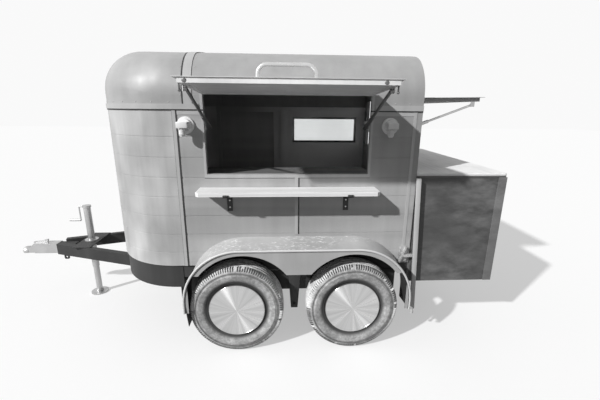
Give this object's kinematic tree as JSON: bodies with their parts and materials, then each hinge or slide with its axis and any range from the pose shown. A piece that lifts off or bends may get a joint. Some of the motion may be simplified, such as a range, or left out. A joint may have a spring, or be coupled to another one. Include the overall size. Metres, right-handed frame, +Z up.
{
  "type": "food trailer",
  "caption": "Tandem-axle food trailer with a rounded nose, a crowned roof, a serving hatch and shelf in its side, and a rear hatch over a counter.",
  "frame": {"origin": "centre of the tow ball that the coupling sits on, 0.45 m above the ground", "axes": "+X to the rear along the centreline, -Y to the serving side, +Z up"},
  "size_m": [4.082, 2.3294, 2.1888],
  "materials": {
    "body_paint": "satin",
    "roof_paint": "satin",
    "chassis_paint": "satin",
    "zinc_steel": "satin",
    "aluminium": "satin",
    "wheel_paint": "gloss",
    "tyre_rubber": "matte",
    "shelf_timber": "matte",
    "counter_timber": "matte",
    "chalkboard": "matte",
    "floor_board": "matte",
    "window_glass": "gloss",
    "window_trim": "satin"
  },
  "bodies": {
    "trailer": {"nose_panel": "body_paint", "side_near": "body_paint", "side_far": "body_paint", "rear_panel": "body_paint", "belt_moulding": "body_paint", "seam_strips": "body_paint", "mudguard_near": "body_paint", "mudguard_far": "body_paint", "roof_front": "roof_paint", "roof_main": "roof_paint", "drawbar": "chassis_paint", "chassis": "chassis_paint", "nose_apron": "chassis_paint", "suspension": "chassis_paint", "axles": "chassis_paint", "wheel_boxes": "chassis_paint", "prop_bar": "chassis_paint", "shelf_brackets": "chassis_paint", "coupling": "zinc_steel", "jack_tube": "zinc_steel", "hinges": "zinc_steel", "stay_studs": "zinc_steel", "wall_lamps": "zinc_steel", "serving_shelf": "shelf_timber", "counter_slab": "counter_timber", "counter_frame": "counter_timber", "worktop": "counter_timber", "chalkboards": "chalkboard", "counter_front": "chalkboard", "floor_deck": "floor_board", "window_glass": "window_glass", "window_frame": "window_trim"},
    "jack_leg": {"jack_leg": "zinc_steel"},
    "serving_hatch": {"hatch_frame": "aluminium", "hatch_skin": "aluminium", "hatch_grab_tube": "aluminium"},
    "rear_hatch": {"rear_hatch": "aluminium"},
    "access_door": {"access_door": "body_paint"},
    "wheel_front_near": {"tyre_front_near": "tyre_rubber", "wheel_front_near": "wheel_paint"},
    "wheel_front_far": {"tyre_front_far": "tyre_rubber", "wheel_front_far": "wheel_paint"},
    "wheel_rear_near": {"tyre_rear_near": "tyre_rubber", "wheel_rear_near": "wheel_paint"},
    "wheel_rear_far": {"tyre_rear_far": "tyre_rubber", "wheel_rear_far": "wheel_paint"},
    "hatch_stay_fore": {"hatch_stay_tube_fore": "aluminium"},
    "hatch_rod_fore": {"hatch_stay_rod_fore": "zinc_steel"},
    "hatch_stay_aft": {"hatch_stay_tube_aft": "aluminium"},
    "hatch_rod_aft": {"hatch_stay_rod_aft": "zinc_steel"},
    "rear_stay_near": {"rear_stay_tube_near": "aluminium"},
    "rear_rod_near": {"rear_stay_rod_near": "zinc_steel"},
    "rear_stay_far": {"rear_stay_tube_far": "aluminium"},
    "rear_rod_far": {"rear_stay_rod_far": "zinc_steel"}
  },
  "joints": [
    {"name": "wheel_front_near_spin", "type": "hinge", "parent": "trailer", "child": "wheel_front_near", "pos_m": [2.0745, -0.8325, -0.107], "axis": [0, 1, 0], "continuous": true},
    {"name": "wheel_front_far_spin", "type": "hinge", "parent": "trailer", "child": "wheel_front_far", "pos_m": [2.0745, 0.8325, -0.107], "axis": [0, 1, 0], "continuous": true},
    {"name": "wheel_rear_near_spin", "type": "hinge", "parent": "trailer", "child": "wheel_rear_near", "pos_m": [2.9255, -0.8325, -0.107], "axis": [0, 1, 0], "continuous": true},
    {"name": "wheel_rear_far_spin", "type": "hinge", "parent": "trailer", "child": "wheel_rear_far", "pos_m": [2.9255, 0.8325, -0.107], "axis": [0, 1, 0], "continuous": true},
    {"name": "serving_hatch_swing", "type": "hinge", "parent": "trailer", "child": "serving_hatch", "pos_m": [2.4535, -0.792, 1.436], "axis": [1, 0, 0], "range_deg": [0, 93.5]},
    {"name": "hatch_stay_fore_turn", "type": "hinge", "parent": "trailer", "child": "hatch_stay_fore", "pos_m": [1.917, -0.735, 1.195], "axis": [1, 0, 0], "range_deg": [0, 112]},
    {"name": "hatch_rod_fore_slide", "type": "slide", "parent": "hatch_stay_fore", "child": "hatch_rod_fore", "axis": [0, -0.9207, 0.3902], "range_m": [-0.346, 0]},
    {"name": "hatch_stay_aft_turn", "type": "hinge", "parent": "trailer", "child": "hatch_stay_aft", "pos_m": [2.99, -0.735, 1.195], "axis": [1, 0, 0], "range_deg": [0, 112]},
    {"name": "hatch_rod_aft_slide", "type": "slide", "parent": "hatch_stay_aft", "child": "hatch_rod_aft", "axis": [0, -0.9207, 0.3902], "range_m": [-0.346, 0]},
    {"name": "rear_hatch_swing", "type": "hinge", "parent": "trailer", "child": "rear_hatch", "pos_m": [3.383, 0, 1.406], "axis": [0, 1, 0], "range_deg": [0, 91]},
    {"name": "rear_stay_near_turn", "type": "hinge", "parent": "trailer", "child": "rear_stay_near", "pos_m": [3.326, -0.627, 1.181], "axis": [0, 1, 0], "range_deg": [0, 112]},
    {"name": "rear_rod_near_slide", "type": "slide", "parent": "rear_stay_near", "child": "rear_rod_near", "axis": [0.9357, 0, 0.3527], "range_m": [-0.316, 0]},
    {"name": "rear_stay_far_turn", "type": "hinge", "parent": "trailer", "child": "rear_stay_far", "pos_m": [3.326, 0.627, 1.181], "axis": [0, 1, 0], "range_deg": [0, 112]},
    {"name": "rear_rod_far_slide", "type": "slide", "parent": "rear_stay_far", "child": "rear_rod_far", "axis": [0.9357, 0, 0.3527], "range_m": [-0.316, 0]},
    {"name": "access_door_swing", "type": "hinge", "parent": "trailer", "child": "access_door", "pos_m": [1.73, 0.788, 0.87], "axis": [0, 0, 1], "range_deg": [0, 115]},
    {"name": "jack_lift", "type": "slide", "parent": "trailer", "child": "jack_leg", "axis": [0, 0, 1], "range_m": [0, 0.22]}
  ],
  "couplings": [
    {"joint": "hatch_stay_fore_turn", "follows": "serving_hatch_swing", "ratio": 1.1937},
    {"joint": "hatch_rod_fore_slide", "follows": "serving_hatch_swing", "m_per_rad": -0.21098},
    {"joint": "hatch_stay_aft_turn", "follows": "serving_hatch_swing", "ratio": 1.1937},
    {"joint": "hatch_rod_aft_slide", "follows": "serving_hatch_swing", "m_per_rad": -0.21098},
    {"joint": "rear_stay_near_turn", "follows": "rear_hatch_swing", "ratio": 1.2231},
    {"joint": "rear_rod_near_slide", "follows": "rear_hatch_swing", "m_per_rad": -0.198},
    {"joint": "rear_stay_far_turn", "follows": "rear_hatch_swing", "ratio": 1.2231},
    {"joint": "rear_rod_far_slide", "follows": "rear_hatch_swing", "m_per_rad": -0.198}
  ]
}
